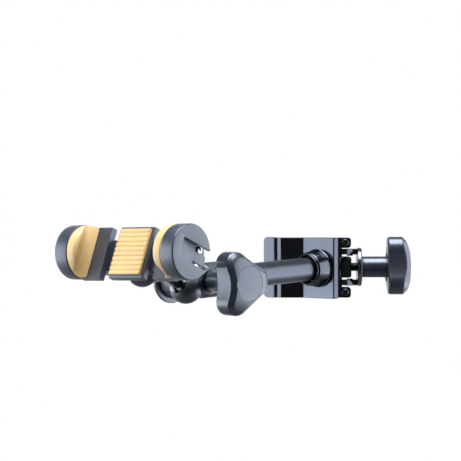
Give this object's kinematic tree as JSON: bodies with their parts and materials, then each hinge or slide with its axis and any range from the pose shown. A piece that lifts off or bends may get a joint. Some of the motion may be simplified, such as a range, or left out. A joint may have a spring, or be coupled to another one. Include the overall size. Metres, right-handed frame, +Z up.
{
  "type": "phone holder",
  "caption": "Clamp-on phone holder for a stand tube: screw clamp, swivelling tube arm with a lobed lock knob, ball joint and spring grips with orange pads.",
  "frame": {"origin": "on the axis of the stand tube that the clamp holds, at the height of the clamp screw", "axes": "+Z up along the tube, +X along the clamp screw towards its knob, -Y towards the side with the arm"},
  "size_m": [0.2272, 0.2129, 0.0566],
  "materials": {
    "black_casting": "satin black coat",
    "black_tube": "satin black coat",
    "black_steel": "blackened",
    "bright_steel": "zinc plated",
    "knob_plastic": "satin moulded",
    "grip_plastic": "fine matt",
    "orange_rubber": "soft matt",
    "black_rubber": "soft matt",
    "bearing_plastic": "smooth"
  },
  "bodies": {
    "clamp": {"clamp_body": "black_casting", "collar_ring": "black_steel", "hook_pad": "black_rubber", "screw_block": "black_casting", "lug_screws": "black_steel", "pivot_washer": "bright_steel"},
    "jaw": {"jaw_carriage": "black_casting", "jaw_pad": "black_rubber", "thrust_disc": "black_steel"},
    "screw": {"clamp_screw": "black_steel", "clamp_knob": "knob_plastic", "clamp_knob_cap": "knob_plastic"},
    "arm": {"arm_tube": "black_tube", "tube_plug": "black_steel", "pivot_screw": "bright_steel", "arm_head": "black_casting", "grub_screw": "black_steel", "draw_flange": "black_casting"},
    "washer": {"knob_washer": "bright_steel"},
    "lock_knob": {"arm_knob": "knob_plastic", "arm_knob_cap": "knob_plastic", "arm_knob_bolt": "bright_steel"},
    "seat": {"ball_seat": "bearing_plastic"},
    "stud": {"ball_stud": "bright_steel"},
    "gripper": {"stem_nut": "black_steel", "grip_stem": "grip_plastic", "grip_housing": "grip_plastic", "grip_cover": "grip_plastic", "back_rest": "grip_plastic", "back_pad": "orange_rubber", "right_spring": "bright_steel", "left_spring": "bright_steel"},
    "right_grip": {"right_jaw": "grip_plastic", "right_cap": "grip_plastic", "right_pad": "orange_rubber", "right_screws": "bright_steel"},
    "left_grip": {"left_jaw": "grip_plastic", "left_cap": "grip_plastic", "left_pad": "orange_rubber", "left_screws": "bright_steel"}
  },
  "joints": [
    {"name": "jaw_slide", "type": "slide", "parent": "clamp", "child": "jaw", "axis": [1, 0, 0], "range_m": [-0.0038, 0.012]},
    {"name": "clamp_screw_turn", "type": "hinge", "parent": "jaw", "child": "screw", "pos_m": [0.05, 0, 0], "axis": [1, 0, 0], "range_deg": [-1368, 4320]},
    {"name": "arm_pivot", "type": "hinge", "parent": "clamp", "child": "arm", "pos_m": [0.0166, -0.026, 0], "axis": [-0.7062, -0.7062, -0.0515], "range_deg": [-180, 180]},
    {"name": "washer_slide", "type": "slide", "parent": "arm", "child": "washer", "axis": [0.7076, -0.7064, -0.0174], "range_m": [0, 0.002]},
    {"name": "lock_knob_turn", "type": "hinge", "parent": "washer", "child": "lock_knob", "pos_m": [-0.04622, -0.1171, -0.00596], "axis": [0.7076, -0.7064, -0.0174], "range_deg": [0, 720]},
    {"name": "ball_pan", "type": "hinge", "parent": "arm", "child": "seat", "pos_m": [-0.06912, -0.11164, -0.00945], "axis": [-0.6148, -0.6949, 0.373], "range_deg": [-180, 180]},
    {"name": "ball_tilt", "type": "hinge", "parent": "seat", "child": "stud", "pos_m": [-0.06912, -0.11164, -0.00945], "axis": [0.7536, -0.6571, 0.0178], "range_deg": [-18, 18]},
    {"name": "grip_spin", "type": "hinge", "parent": "stud", "child": "gripper", "pos_m": [-0.06912, -0.11164, -0.00945], "axis": [-0.6148, -0.6949, 0.373], "range_deg": [-180, 180]},
    {"name": "right_grip_slide", "type": "slide", "parent": "gripper", "child": "right_grip", "axis": [0.7536, -0.6571, 0.0178], "range_m": [0, 0.012], "stiffness_N_per_m": 250, "springref_m": -0.01},
    {"name": "left_grip_slide", "type": "slide", "parent": "gripper", "child": "left_grip", "axis": [-0.7536, 0.6571, -0.0178], "range_m": [0, 0.012], "stiffness_N_per_m": 250, "springref_m": -0.01}
  ],
  "couplings": [
    {"joint": "jaw_slide", "follows": "clamp_screw_turn", "m_per_rad": 0.00015915},
    {"joint": "washer_slide", "follows": "lock_knob_turn", "m_per_rad": 0.00015915}
  ]
}
